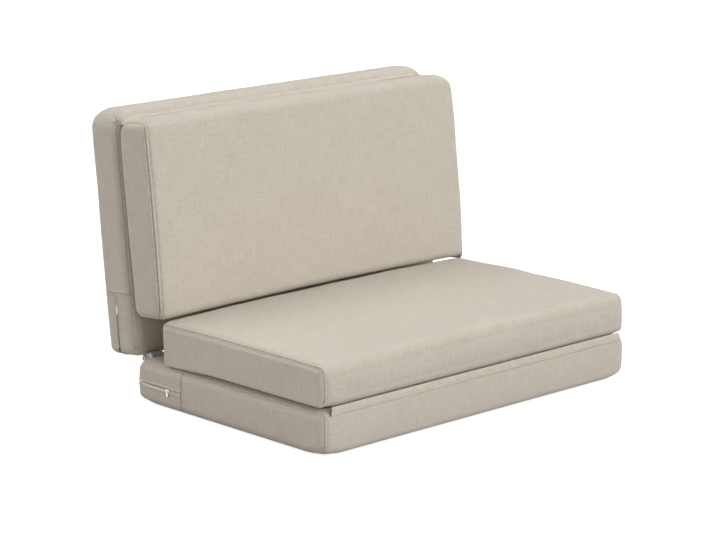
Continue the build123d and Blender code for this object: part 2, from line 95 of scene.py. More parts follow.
def mathNode(tree, operation, first, second=0):
    return addNode(tree, "ShaderNodeMath", {0: first, 1: second}, operation=operation).outputs[0]


def addUp(tree, total, *values):
    for value in values:
        total = mathNode(tree, "ADD", total, value)
    return total


def times(tree, first, second):
    return mathNode(tree, "MULTIPLY", first, second)


def stretchedNoise(tree, vector, scale, detail=2, roughness=0.5):
    """Noise drawn out along one direction; scale is cycles per metre along X, Y and Z."""
    drawnOut = addNode(tree, "ShaderNodeMapping", {"Vector": vector, "Scale": scale}).outputs[0]
    look = {"Vector": drawnOut, "Scale": 1, "Detail": detail, "Roughness": roughness}
    return addNode(tree, "ShaderNodeTexNoise", look).outputs["Fac"]


def newGroup(name, inputs, outputs, family="Shader"):
    """A node group and its two ends: inputs and outputs are labels with their kinds of socket."""
    tree = bpy.data.node_groups.new(name, family + "NodeTree")
    for side, kinds in (("INPUT", inputs), ("OUTPUT", outputs)):
        for label, kind in kinds.items():
            tree.interface.new_socket(label, in_out=side, socket_type="NodeSocket" + kind)
    return tree, addNode(tree, "NodeGroupInput").outputs, addNode(tree, "NodeGroupOutput")


def weaveGroup():
    """A plain weave with thick and thin threads, on a vector in metres."""
    inputs = {"Place": "Vector", "Thread": "Float", "Slub": "Float"}
    tree, given, made = newGroup("plainWeave", inputs, {"Shade": "Float", "Height": "Float"})
    place = given["Place"]
    scaling = {0: place, "Scale": mathNode(tree, "DIVIDE", 1, given["Thread"])}
    scaled = addNode(tree, "ShaderNodeVectorMath", scaling, operation="SCALE").outputs[0]
    apart = addNode(tree, "ShaderNodeSeparateXYZ", {0: scaled})
    squares = {"Vector": scaled, "Scale": 1, "Color1": (1, 1, 1, 1), "Color2": (0, 0, 0, 1)}
    blend = {"Factor": addNode(tree, "ShaderNodeTexChecker", squares).outputs["Fac"]}
    for axis in range(2):
        wave = mathNode(tree, "SINE", times(tree, apart.outputs[axis], math.pi))
        blend[axis + 2] = mathNode(tree, "ABSOLUTE", wave)
    over = addNode(tree, "ShaderNodeMix", blend, data_type="FLOAT").outputs[0]
    warp = stretchedNoise(tree, place, (28, 400, 200), 3)
    weft = stretchedNoise(tree, place, (420, 24, 200), 3)
    fuzz = stretchedNoise(tree, place, (420, 420, 420), 3)
    slubs = times(tree, addUp(tree, warp, weft, -1), given["Slub"])
    grain = times(tree, addUp(tree, over, -0.6), 0.22)
    loose = times(tree, addUp(tree, fuzz, -0.5), 0.3)
    height = addUp(tree, times(tree, over, 0.6), times(tree, slubs, 0.8))
    feed(tree, made, {"Shade": addUp(tree, slubs, grain, loose, 0.5), "Height": height})
    return tree


def gatherGroup():
    """Small gathers across a seam, with painted shade in their hollows and painted highlight on their crests;
    Seam holds the way along, the way off and how near.
    """
    tree, given, made = newGroup("seamGathers", {"Seam": "Vector"}, {"Height": "Float", "Shade": "Float"})
    fine = stretchedNoise(tree, given["Seam"], (290, 26, 0), 2)
    broad = stretchedNoise(tree, given["Seam"], (95, 14, 0), 1)
    near = addNode(tree, "ShaderNodeSeparateXYZ", {0: given["Seam"]}).outputs["Z"]
    raised = times(tree, addUp(tree, fine, times(tree, broad, 1.4), -1.2), near)
    # Shade follows the gathers' height: painted shade in their hollows and a painted highlight on their
    # crests
    feed(tree, made, {"Height": raised, "Shade": times(tree, raised, 0.35)})
    return tree


def patchGroup():
    """Light and dark patches, for hand marks on cloth and dull spots on metal."""
    tree, given, made = newGroup("softPatches", {"Place": "Vector", "Spread": "Float"}, {"Shade": "Float"})
    look = {"Vector": given["Place"], "Scale": given["Spread"], "Detail": 4, "Roughness": 0.6}
    feed(tree, made, {"Shade": addNode(tree, "ShaderNodeTexNoise", look).outputs["Fac"]})
    return tree


weave, gathers, patches = weaveGroup(), gatherGroup(), patchGroup()


def placeGroup(tree, group, values):
    return addNode(tree, "ShaderNodeGroup", values, node_tree=group).outputs


def newMaterial(name, settings):
    material = bpy.data.materials.new(name)
    material.use_nodes = True
    shader = material.node_tree.nodes["Principled BSDF"]
    feed(material.node_tree, shader, settings)
    return material, material.node_tree, shader


def rampNode(tree, factor, stops):
    ramp = addNode(tree, "ShaderNodeValToRGB", {"Fac": factor})
    elements = ramp.color_ramp.elements
    for element, (position, colour) in zip(elements, (stops[0], stops[-1])):
        element.position, element.color = position, (*colour, 1)
    for position, colour in stops[1:-1]:
        elements.new(position).color = (*colour, 1)
    return ramp.outputs["Color"]


def bumpNode(tree, height, distance, **under):
    """The normal that a height gives, on top of another where one is given as Normal."""
    look = {"Strength": 1, "Distance": distance, "Height": height, **under}
    return addNode(tree, "ShaderNodeBump", look).outputs[0]


clothShine = {"Roughness": 0.92, "Sheen Weight": 0.12, "Sheen Roughness": 0.45, "Specular IOR Level": 0.22}
clothLook = {
    "dark": (0.43, 0.385, 0.315),
    "middle": (0.575, 0.525, 0.445),
    "light": (0.70, 0.65, 0.565),
    "thread": 0.95 * mm,
    "slub": 0.5,
    "patchSpread": 7.0,
    "patchShare": 0.16,
    "bump": 0.22 * mm,
    "gatherBump": 1.3 * mm,
}


def clothMaterial(name, look, seams=True):
    material, tree, shader = newMaterial(name, clothShine)
    place = addNode(tree, "ShaderNodeUVMap", uv_map="UVMap").outputs[0]
    cloth = placeGroup(tree, weave, {"Place": place, "Thread": look["thread"], "Slub": look["slub"]})
    marks = placeGroup(tree, patches, {"Place": place, "Spread": look["patchSpread"]})
    softened = times(tree, addUp(tree, marks[0], -0.5), look["patchShare"])
    shade = addUp(tree, cloth["Shade"], softened)
    normal = bumpNode(tree, cloth["Height"], look["bump"])
    if seams:
        seamPlace = addNode(tree, "ShaderNodeAttribute", attribute_name="seamPlace").outputs["Vector"]
        gathered = placeGroup(tree, gathers, {"Seam": seamPlace})
        # The gathers' Shade darkens their hollows and lightens their crests: painted shade and highlight
        shade = addUp(tree, shade, gathered["Shade"])
        normal = bumpNode(tree, gathered["Height"], look["gatherBump"], Normal=normal)
    colour = rampNode(tree, shade, [(0.1, look["dark"]), (0.5, look["middle"]), (0.9, look["light"])])
    feed(tree, shader, {"Base Color": colour, "Normal": normal})
    return material


def metalMaterial(name, dark, light, metallic, roughness, spread=260.0):
    """Metal or paint with dull and bright patches, each up to wear rougher or smoother."""
    wear = 0.12
    material, tree, shader = newMaterial(name, {"Metallic": metallic})
    place = addNode(tree, "ShaderNodeTexCoord").outputs["Object"]
    shade = placeGroup(tree, patches, {"Place": place, "Spread": spread})[0]
    finish = {
        "Base Color": rampNode(tree, shade, [(0.25, dark), (0.75, light)]),
        "Roughness": addUp(tree, times(tree, shade, 2 * wear), roughness - wear),
        "Normal": bumpNode(tree, shade, 0.03 * mm),
    }
    feed(tree, shader, finish)
    return material


def grainMaterial(name, dark, light, roughness, scale, bumpDistance):
    """Wood, foam, thread or tape: a stretched grain on the piece's own place in the frame."""
    material, tree, shader = newMaterial(name, {"Roughness": roughness})
    place = addNode(tree, "ShaderNodeTexCoord").outputs["Object"]
    grain = stretchedNoise(tree, place, scale, 4, 0.65)
    colour = rampNode(tree, grain, [(0.3, dark), (0.7, light)])
    feed(tree, shader, {"Base Color": colour, "Normal": bumpNode(tree, grain, bumpDistance)})
    return material


clothCover = clothMaterial("woven_cover", clothLook)
stripLook = {**clothLook, "light": (0.74, 0.69, 0.60), "middle": (0.61, 0.56, 0.475)}
clothStrip = clothMaterial("woven_strip", stripLook, seams=False)
threadTones = (0.46, 0.415, 0.345), (0.60, 0.55, 0.47)
threadMaterial = grainMaterial("sewing_thread", *threadTones, 0.85, (900, 900, 900), 0.05 * mm)
# Near-black zip tape, also put on the cover's faces in the zips' open slots as painted shade there
tapeTones = (0.07, 0.062, 0.052), (0.13, 0.116, 0.098)
tapeAndSlotShade = grainMaterial("zip_tape", *tapeTones, 0.9, (1500, 1500, 1500), 0.08 * mm)
toothMaterial = metalMaterial("zip_teeth", (0.9, 0.87, 0.82), (0.97, 0.95, 0.91), 0, 0.4)
# A near-black copy of the teeth for the back zip: painted shade on teeth that lie deep in its slit
shadedTeeth = metalMaterial("zip_teeth_painted_shade", (0.10, 0.092, 0.08), (0.17, 0.157, 0.135), 0.2, 0.55)
# A darker, less metallic copy of the slider metal for the back zip's slider and pull: painted shade
shadedSlider = metalMaterial("zip_slider_painted_shade", (0.40, 0.39, 0.365), (0.66, 0.645, 0.61), 0.7, 0.38)
sliderMaterial = metalMaterial("zip_slider", (0.62, 0.61, 0.58), (0.88, 0.87, 0.85), 1, 0.27)
brightSteel = metalMaterial("bright_steel", (0.62, 0.62, 0.61), (0.84, 0.84, 0.83), 1, 0.28)
plainSteel = metalMaterial("plain_steel", (0.36, 0.36, 0.355), (0.52, 0.52, 0.51), 1, 0.36)
darkPaint = metalMaterial("dark_paint", (0.40, 0.395, 0.39), (0.50, 0.495, 0.488), 0.25, 0.45)
framePaint = metalMaterial("frame_paint", (0.03, 0.03, 0.032), (0.06, 0.06, 0.064), 0, 0.45, 90.0)
foamMaterial = grainMaterial("foam", (0.80, 0.75, 0.60), (0.92, 0.88, 0.74), 0.95, (700, 700, 700), 0.5 * mm)
slatWood = grainMaterial("slat_wood", (0.42, 0.27, 0.14), (0.66, 0.47, 0.28), 0.55, (9, 160, 160), 0.12 * mm)
print("materials made")


# The four padded sections. X is across, Y from the section's front face and Z from its underside.
# Four values go with the faces, in the order bottom, rear, top, front, but in rounds and sharpen
# with the corners, from the front's lower one round by the rear.
#   turns       how far in and how deep each face turns at the ends
#   bows        how far each face swells, with bowAtEnds of it at the ends
#   rounds      the corners' radii; sharpen says how fast the ends' turn makes them smaller
#   seamShares  how deep the ends' seam lies; second is the depth of the stitches beside it
#   lift        how far the underside's edges rise, and the shares of it at the rear and the right
#   arch, rise  how far the underside and the top stand up in the middle
#   rightCrisp, leftTop, rightLow   the share of the sharpening, of the top's turn and of the
#               bottom's turn at that end
#   zMarks, yMarks   where a zip or a seam needs rows close together
#   undulation  the cloth's unevenness; filled says that the cover is pressed out from inside
hinge = Vector(joints["back_recline"]["pos_m"])
slideAxis = joints["back_zip_slide"]["axis"]
recline = math.atan2(-slideAxis[1], -slideAxis[2])
backPlace = Matrix.Translation(hinge) @ Matrix.Rotation(-recline, 4, "X")
bowAtEnds = 0.4
closeOffsets = (0.95, 1.9, 2.9, 3.8, 4.8, 6.4, 8, 9, 10)
padRows = {
    "face": 7.5 * mm,
    "across": 9.5 * mm,
    "cornerSteps": 10,
    "leastRound": 3 * mm,
    "close": inMm((*(-offset for offset in closeOffsets[::-1]), 0, *closeOffsets)),
    "seam": inMm((0, 0.8, 1.6, 2.4, 3.2, 4, 4.9, 5.7, 6.6, 7.6, 8.5, 9.4, 10.4)),
    "beyond": (0.12, 0.3, 0.55, 0.8, 1),
}
# A seam: its groove, ridge and stitch line, each with its height, how far off it lies and its reach
seamShape = inMm({
    "lines": ((-2.3, 0, 1.35), (1.2, 3.4, 1.4), (-0.6, 5.7, 0.7)),
    "pull": 1.3,
    "pullOuter": 20,
    "pullInner": 8,
    "secondOff": 8.5,
    "secondReach": 1.2,
    "nearOuter": 27,
    "nearInner": 9.4,
    "gather": 0.5,
})


def section(lengths, others):
    """A section's settings, from its lengths in millimetres and the others; what isn't given is plain."""
    plainLengths = {"second": 0, "arch": 0, "rise": 0, "zMarks": (), "yMarks": (), "undulation": 0.9}
    plainOthers = {"lift": None, "filled": False, "rightCrisp": 1, "leftTop": 1, "rightLow": 1}
    return {**inMm({**plainLengths, **lengths}), **plainOthers, **others}


baseSlab = section(
    {
        "width": 900,
        "depth": 582,
        "height": 95.5,
        "turns": ((20, 20), (30, 24), (26, 22), (30, 20)),
        "second": 0.4,
        "rounds": (17, 20, 28, 20),
        "bows": (0, 0, 0, 1.5),
        "zMarks": (45.5,),
        "yMarks": (431,),
        "undulation": 0.4,
    },
    {
        "name": "base_slab",
        "body": "base",
        "sharpen": (0.3, 0.8, 1, 2.3),
        "seamShares": (0.3, 0.5, 0.35, 0.6),
        "lift": {**inMm({"side": 2, "front": 1.8, "corner": 5.5}), "rearShare": 1, "rightShare": 1},
        "place": Matrix.Translation(inMm((0, -291, -0.5))),
        "seed": 3,
        "rightCrisp": 0.3,
    },
)
seatCushion = section(
    {
        "width": 900,
        "depth": 504,
        "height": 93,
        "turns": ((9, 7), (28, 22), (22, 18), (30, 20)),
        "second": 0.5,
        "rounds": (24, 22, 15, 26),
        "bows": (0, 1.5, 4.5, 4.5),
        "rise": 4.5,
    },
    {
        "name": "seat_cushion",
        "body": "seat_cushion",
        "sharpen": (2.2, 0.8, 0.6, 2.3),
        "seamShares": (0.25, 0.6, 1, 0.55),
        "lift": {**inMm({"side": 6.2, "front": 0.6, "corner": 0.6}), "rearShare": 0, "rightShare": 0.35},
        "place": Matrix.Translation(inMm((0, -291, 95.5))),
        "seed": 11,
        "filled": True,
        "rightCrisp": 0.5,
    },
)
backSlab = section(
    {
        "width": 905,
        "depth": 94,
        "height": 522.4,
        "turns": ((24, 16), (20, 20), (46, 46), (28, 26)),
        "rounds": (16, 22, 28, 28),
        "bows": (0, 1.5, 1.5, 0),
        "zMarks": (133.4,),
        "yMarks": (50.6,),
        "undulation": 0.5,
    },
    {
        "name": "back_slab",
        "body": "back",
        "sharpen": (0.6, 1, 0.6, 0.6),
        "seamShares": (0.35, 0.6, 0.25, 0.25),
        "place": backPlace @ Matrix.Translation(inMm((0, -6.55, 6.7))),
        "seed": 23,
    },
)
backCushion = section(
    {
        "width": 912,
        "depth": 92.5,
        "height": 424,
        "turns": ((28, 24), (20, 20), (44, 44), (24, 22)),
        "second": 1.2,
        "arch": 6.5,
        "rounds": (22, 25, 25, 25),
        "bows": (0, 0, 1.5, 7),
    },
    {
        "name": "back_cushion",
        "body": "back_cushion",
        "sharpen": (0.8, 0.8, 0.4, 0.4),
        "seamShares": (0.8, 0.5, 0.7, 1),
        "place": backPlace @ Matrix.Translation(inMm((0, -101.7, 87))),
        "seed": 37,
        "filled": True,
        "leftTop": 0.5,
        "rightLow": -0.25,
    },
)


def turnedIn(turn, fromEnd):
    """How far a face lies in from its flat, at a distance from the section's end."""
    reach, deep = turn
    short = np.clip(1 - fromEnd / reach, 0, 1)
    return deep * (1 - np.sqrt(1 - short**2))


def padSurface(form, x, kind, share):
    """Y and Z of a section's surface. kind 0 to 3 is a corner and 4 to 7 a face, share the way along it."""
    half = form["width"] / 2
    fromEnd = half - np.abs(x)
    below, behind, above, before = (turnedIn(turn, fromEnd) for turn in form["turns"])
    above = above * np.where(x < 0, form["leftTop"], 1)
    below = below * np.where(x > 0, form["rightLow"], 1)
    fullness = 1 - (x / half) ** 2
    low = (before, below + form["arch"] * fullness)
    high = (form["depth"] - behind, form["height"] - above + form["rise"] * fullness)
    pairs = ((before, below), (below, behind), (behind, above), (above, before))
    radii = []
    for radius, pair, sharpness in zip(form["rounds"], pairs, form["sharpen"]):
        crisp = sharpness * np.where(x < 0, 1, form["rightCrisp"])
        radii.append(np.maximum(radius - crisp * np.maximum(*pair), padRows["leastRound"]))
    centres = [
        (low[0] + radii[0], low[1] + radii[0]),
        (high[0] - radii[1], low[1] + radii[1]),
        (high[0] - radii[2], high[1] - radii[2]),
        (low[0] + radii[3], high[1] - radii[3]),
    ]
    y, z = np.zeros_like(x), np.zeros_like(x)
    outwards = [(0, -1), (1, 0), (0, 1), (-1, 0)]
    for corner in range(4):
        on = kind == corner
        angle = math.pi + math.pi / 2 * (corner + share)
        y = np.where(on, centres[corner][0] + radii[corner] * np.cos(angle), y)
        z = np.where(on, centres[corner][1] + radii[corner] * np.sin(angle), z)
        on = kind == corner + 4
        following = (corner + 1) % 4
        toY, toZ = outwards[corner]
        swell = bowAtEnds + (1 - bowAtEnds) * fullness
        bow = form["bows"][corner] * swell * 4 * share * (1 - share)
        ends = []
        for index in (corner, following):
            ends.append((centres[index][0] + radii[index] * toY, centres[index][1] + radii[index] * toZ))
        y = np.where(on, ends[0][0] + (ends[1][0] - ends[0][0]) * share + toY * bow, y)
        z = np.where(on, ends[0][1] + (ends[1][1] - ends[0][1]) * share + toZ * bow, z)
    return y, z


def faceShares(start, end, marks, counts):
    """Shares of a face's rows from start to end, close together at each mark."""
    way = 1 if end > start else -1
    close = padRows["close"]
    rows, here = [], start
    for mark, count in zip(marks, counts):
        first = mark - way * close[-1]
        rows += [here + (first - here) * step / count for step in range(count)]
        rows += [mark + way * offset for offset in close[:-1]]
        here = mark + way * close[-1]
    rows += [here + (end - here) * step / counts[-1] for step in range(counts[-1])]
    return [(row - start) / (end - start) for row in rows]


def rowCounts(length, marks):
    edges = [0, *marks, length]
    return [max(2, round((end - start) / padRows["face"])) for start, end in zip(edges, edges[1:])]


def padSamples(form):
    """The rows round a section: which corner or face each is on, and the share along it."""
    depth, height, rounds = form["depth"], form["height"], form["rounds"]
    yCounts, zCounts = rowCounts(depth, form["yMarks"]), rowCounts(height, form["zMarks"])
    spans = [
        (rounds[0], depth - rounds[1], form["yMarks"], yCounts),
        (rounds[1], height - rounds[2], form["zMarks"], zCounts),
        (depth - rounds[2], rounds[3], form["yMarks"][::-1], yCounts[::-1]),
        (height - rounds[3], rounds[0], form["zMarks"][::-1], zCounts[::-1]),
    ]
    kinds, shares, sides = [], [], []
    steps = padRows["cornerSteps"]
    for corner, span in enumerate(spans):
        kinds += [corner] * steps
        shares += [step / steps for step in range(steps)]
        onFace = faceShares(*span)
        kinds += [corner + 4] * len(onFace)
        shares += onFace
        sides.append(len(onFace) + steps)
    return np.array(kinds), np.array(shares), sides


def roundTheLoop(values, kind, share):
    """One value for each row, from one for each face, eased over the corners."""
    values = np.array(values)
    eased = share * share * (3 - 2 * share)
    onCorner = values[(kind + 3) % 4] * (1 - eased) + values[kind % 4] * eased
    return np.where(kind < 4, onCorner, values[kind % 4])


def turnOffsets(turn):
    """How far each ring of an end's turn lies from its seam, from the wrap's side to the panel's."""
    near, reach = padRows["seam"], turn * math.pi / 4
    scale = np.minimum(1, 0.88 * reach / near[-1])
    side = [scale * row for row in near]
    side += [side[-1] + (reach - side[-1]) * share for share in padRows["beyond"]]
    return [-off for off in side[:0:-1]] + side


def buildPad(form):
    """Points of a padded section in its own frame, with what the seams and the cloth's pattern need."""
    kind, share, sides = padSamples(form)
    half = form["width"] / 2
    turn = roundTheLoop([turn[0] for turn in form["turns"]], kind, share)
    steps = turnOffsets(turn)
    count = max(4, round(form["width"] / padRows["across"]))
    atSeam, inner = turn * math.pi / 4, half - turn
    right, middle = [], []
    for step in steps:
        right.append((half - turn * (1 - np.sin(math.pi / 4 + step / turn)), step, inner + atSeam + step))
    for index in range(1, count):
        flat = -1 + 2 * index / count
        middle.append((flat * inner, -(1 - abs(flat)) * inner - atSeam, flat * inner))
    left = [(-x, off, -along) for x, off, along in right[::-1]]
    x, off, along = (np.array(values) for values in zip(*left, *middle, *right))
    y, z = padSurface(form, x, np.tile(kind, (len(x), 1)), np.tile(share, (len(x), 1)))
    middleY, middleZ = padSurface(form, np.zeros(len(kind)), kind, share)
    stepLengths = np.hypot(np.diff(middleY, append=middleY[0]), np.diff(middleZ, append=middleZ[0]))
    way = np.concatenate([[0], np.cumsum(stepLengths)[:-1]])
    return {
        "form": form,
        "sides": sides,
        "grid": np.stack([x, y, z], -1),
        "off": off,
        "along": along,
        "way": np.tile(way, (len(x), 1)),
        "turn": turn,
        "weight": np.tile(roundTheLoop(form["seamShares"], kind, share), (len(x), 1)),
        "seamRing": len(steps) // 2,
    }


def lengthsAlong(points):
    """How far along its line each point lies."""
    return np.concatenate([[0], np.cumsum(np.linalg.norm(np.diff(points, axis=0), axis=1))])


def endPatch(pad, ring):
    """A grid that closes one end: rows from the front to the rear, columns from the bottom to the top."""
    loop, count = pad["grid"][ring], pad["grid"].shape[1]
    start = padRows["cornerSteps"] // 2
    edges = []
    for length in pad["sides"]:
        edges.append([(start + step) % count for step in range(length + 1)])
        start += length
    bottom, rear, top, front = edges[0], edges[1], edges[2][::-1], edges[3][::-1]
    shares = []
    for pair in ((bottom, top), (front, rear)):
        ways = [lengthsAlong(loop[edge]) for edge in pair]
        shares.append(np.mean([way / way[-1] for way in ways], axis=0))
    toRear, toTop = shares[0][:, None, None], shares[1][None, :, None]
    points = (1 - toTop) * loop[bottom][:, None, :] + toTop * loop[top][:, None, :]
    points = points + (1 - toRear) * loop[front][None, :, :] + toRear * loop[rear][None, :, :]
    for edge, topShare in ((bottom, 1 - toTop), (top, toTop)):
        points = points - (1 - toRear) * topShare * loop[edge[0]] - toRear * topShare * loop[edge[-1]]
    return points, {"bottom": bottom, "top": top, "front": front, "rear": rear}


squareCorners = ((0, 0), (1, 0), (1, 1), (0, 1))
# How far off the seam a point inside an end panel counts as, and how far from the wrap the end
# panels lie on the cloth's pattern
farFromSeam = 60 * mm
sideShift = 1.7


def padMesh(pad):
    """Numbers every point once and makes the faces, and each face corner's place on its cloth panel."""
    grid, seamRing = pad["grid"], pad["seamRing"]
    ringCount, rowCount = grid.shape[:2]
    halfway = ringCount // 2
    outward = np.stack([np.gradient(grid[halfway, :, 2]), -np.gradient(grid[halfway, :, 1])], -1)
    outward /= np.linalg.norm(outward, axis=1)[:, None]
    unrolled = (pad["turn"] * math.pi / 4 - pad["off"])[..., None] * outward[None]
    sideBase = np.repeat(np.stack([grid[0], grid[-1]])[:, :, 1:], [halfway, ringCount - halfway], axis=0)
    collected = {
        "points": [grid.reshape(-1, 3)],
        "sidePlace": [(sideBase + unrolled).reshape(-1, 2)],
        "wrapPlace": [np.stack([pad["along"], pad["way"]], -1).reshape(-1, 2)],
        "offAll": [pad["off"].reshape(-1)],
        "wayAll": [pad["way"].reshape(-1)],
        "weightAll": [pad["weight"].reshape(-1)],
    }
    total = ringCount * rowCount
    index = np.arange(total).reshape(ringCount, rowCount)
    faces, onSide = [], []
    for ring in range(ringCount - 1):
        side = ring < seamRing or ring >= ringCount - 1 - seamRing
        for row in range(rowCount):
            after = (row + 1) % rowCount
            faces.append((index[ring, row], index[ring, after], index[ring + 1, after], index[ring + 1, row]))
            onSide.append(side)
    pad["patches"] = []
    for ring in (0, ringCount - 1):
        inner, edges = endPatch(pad, ring)
        columns, rows = inner.shape[:2]
        number = np.zeros((columns, rows), int)
        number[1:-1, 1:-1] = total + np.arange((columns - 2) * (rows - 2)).reshape(columns - 2, rows - 2)
        number[:, 0], number[:, -1] = index[ring, edges["bottom"]], index[ring, edges["top"]]
        number[0, :], number[-1, :] = index[ring, edges["front"]], index[ring, edges["rear"]]
        extra = inner[1:-1, 1:-1].reshape(-1, 3)
        total += len(extra)
        added = (
            extra,
            extra[:, 1:],
            extra[:, 1:],
            np.full(len(extra), farFromSeam),
            extra[:, 1] + extra[:, 2],
            np.zeros(len(extra)),
        )
        for arrays, more in zip(collected.values(), added):
            arrays.append(more)
        for column in range(columns - 1):
            for row in range(rows - 1):
                corners = [number[column + rearward, row + upward] for rearward, upward in squareCorners]
                faces.append(corners[::-1] if ring == 0 else corners)
                onSide.append(True)
        pad["patches"].append(number)
    for name, arrays in collected.items():
        pad[name] = np.concatenate(arrays)
    pad["index"], pad["faces"] = index, np.array(faces)
    onSide = np.array(onSide)[:, None, None]
    pad["uv"] = np.where(onSide, pad["sidePlace"][pad["faces"]] + sideShift, pad["wrapPlace"][pad["faces"]])
    return pad


def meshObject(name, points, faces, uv=None):
    mesh = bpy.data.meshes.new(name)
    corners = [tuple(int(number) for number in face) for face in faces]
    mesh.from_pydata([tuple(point) for point in points], [], corners)
    if uv is not None:
        layer = mesh.uv_layers.new(name="UVMap")
        layer.data.foreach_set("uv", np.asarray(uv, np.float32).reshape(-1))
    mesh.shade_smooth()
    mesh.update()
    return addObject(name, mesh)


def meshNormals(mesh):
    normals = np.zeros(len(mesh.vertices) * 3, np.float32)
    mesh.vertex_normals.foreach_get("vector", normals)
    return normals.reshape(-1, 3).astype(float)


# How a cushion's foam fills its cover, by cloth simulation on a coarse copy. cap is about the most
# that a point moves, keepShare how much of that the cover keeps, less capShare of cap.
fillSettings = {
    "voxel": 8 * mm,
    "frames": 20,
    "quality": 5,
    "mass": 0.3,
    "pressure": 4.0,
    "stiffness": 15.0,
    "bending": 0.5,
    "cap": 9 * mm,
    "capShare": 0.6,
    "keepShare": 0.2,
    "evening": 40,
}


def evenedOut(values, faces, rounds):
    """Values at points, each taken with those of the faces round it."""
    quads = np.array([face for face in faces if len(face) == 4])
    corners = quads.ravel()
    count = np.bincount(corners, minlength=len(values))
    for step in range(rounds):
        means = np.repeat(values[quads].mean(axis=1), 4)
        total = np.bincount(corners, means, minlength=len(values))
        values = np.where(count > 0, total / np.maximum(count, 1), values)
    return values


def filledOut(name, points, faces, normals):
    """How far each point moves out or in when the cover is pressed out from inside."""
    copy = meshObject(name, points, faces)
    bpy.context.view_layer.objects.active = copy
    remesh = copy.modifiers.new("Remesh", "REMESH")
    remesh.mode, remesh.voxel_size = "VOXEL", fillSettings["voxel"]
    coarse = shapedMesh(copy)
    copy.modifiers.clear()
    copy.data = coarse
    cloth = copy.modifiers.new("Cloth", "CLOTH")
    settings = cloth.settings
    settings.quality, settings.mass = fillSettings["quality"], fillSettings["mass"]
    for way in ("tension", "compression", "shear"):
        setattr(settings, way + "_stiffness", fillSettings["stiffness"])
    settings.bending_stiffness = fillSettings["bending"]
    settings.use_pressure = True
    settings.uniform_pressure_force = fillSettings["pressure"]
    settings.effector_weights.gravity = 0
    cloth.collision_settings.use_collision = False
    cloth.point_cache.frame_start, cloth.point_cache.frame_end = 1, fillSettings["frames"]
    scene = bpy.context.scene
    for step in range(1, fillSettings["frames"] + 1):
        scene.frame_set(step)
    settled = shapedMesh(copy)
    polygons = [tuple(polygon.vertices) for polygon in settled.polygons]
    tree = BVHTree.FromPolygons([vertex.co for vertex in settled.vertices], polygons)
    cap = fillSettings["cap"]
    reach = 2.5 * cap
    moved = np.zeros(len(points))
    for index, (point, normal) in enumerate(zip(points, normals)):
        direction = Vector(normal)
        hit = tree.ray_cast(Vector(point) + direction * reach, -direction, 2 * reach)
        moved[index] = reach - hit[3] if hit[0] is not None else 0
    scene.frame_set(1)
    bpy.data.objects.remove(copy)
    return cap * np.tanh(moved / cap)


def waves(points, seed, length, count=14):
    """Smooth unevenness made of plane waves about one length long, mostly between -1 and 1."""
    random = np.random.default_rng(seed)
    total = np.zeros(len(points))
    for index in range(count):
        direction = random.normal(size=3)
        direction /= np.linalg.norm(direction)
        cycles = random.uniform(0.7, 1.5) / length
        total += np.sin(2 * math.pi * cycles * (points @ direction) + random.uniform(0, 2 * math.pi))
    return total / math.sqrt(count / 2) * 0.5


def hill(distance, width):
    return np.exp(-((distance / width) ** 2))


def seamRelief(off, second):
    """A seam's groove, the folded edges beside it, the pull of its stitches and a second row of them."""
    shape = seamShape
    relief = -second * hill(off + shape["secondOff"], shape["secondReach"])
    for height, apart, reach in shape["lines"]:
        relief += height * hill(np.abs(off) - apart, reach)
    return relief - shape["pull"] * hill(off, np.where(off < 0, shape["pullOuter"], shape["pullInner"]))


def seamNearness(off):
    """1 on a seam, falling to 0 on the wrap and, sooner, on the side panel."""
    reach = np.where(off < 0, seamShape["nearOuter"], seamShape["nearInner"])
    return np.clip(1 - np.abs(off) / reach, 0, 1) ** 1.6


def gatherRelief(pad):
    """Small waves along a seam, of three lengths and of three others a little longer."""
    random = np.random.default_rng(pad["form"]["seed"])
    ripple = np.zeros(len(pad["wayAll"]))
    for length in inMm((13, 19, 31)):
        for stretch in (1, 1.37):
            turn = 2 * math.pi * pad["wayAll"] / (length * stretch)
            ripple += np.sin(turn + random.uniform(0, 6.28))
    return seamShape["gather"] * ripple / 3 * seamNearness(pad["offAll"])


def smoothStep(low, high, value):
    share = np.clip((value - low) / (high - low), 0, 1)
    return share * share * (3 - 2 * share)


def lineRelief(distance, depth, ridge):
    """A plain seam across a panel."""
    relief = -depth * hill(distance, 1.2 * mm)
    return relief + ridge * hill(np.abs(distance) - 3 * mm, 1.6 * mm)


baseZip = inMm({"channel": 2.7, "depth": 1.7, "lipOff": 5.2, "lipReach": 2.2})
backZip = inMm({"channel": 1.9, "depth": 6.5, "lipOff": 4, "lipReach": 1.9})
zipEdge = inMm({"lip": 1.2, "wall": 0.9, "slit": 1.1, "slitReach": 0.9, "stitch": 0.9, "stitchOff": 9})


def zipShape(shape, distance, isOpen):
    """The slot of a zip with its two lips, where isOpen is 1, and a closed slit where it is 0."""
    away = np.abs(distance)
    slot = -shape["depth"] * (1 - smoothStep(shape["channel"], shape["channel"] + zipEdge["wall"], away))
    slit = -zipEdge["slit"] * hill(away, zipEdge["slitReach"])
    lips = zipEdge["lip"] * hill(away - shape["lipOff"], shape["lipReach"])
    edge = -zipEdge["stitch"] * hill(away - zipEdge["stitchOff"], zipEdge["stitch"])
    return lips + edge + slot * isOpen + slit * (1 - isOpen)


def paintedSlotShade(shape, distance, shown):
    """Whether each point lies in a zip's open slot, whose faces take the near-black tape as painted shade."""
    return (np.abs(distance) < shape["channel"] + 0.3 * mm) & (shown > 0.9)


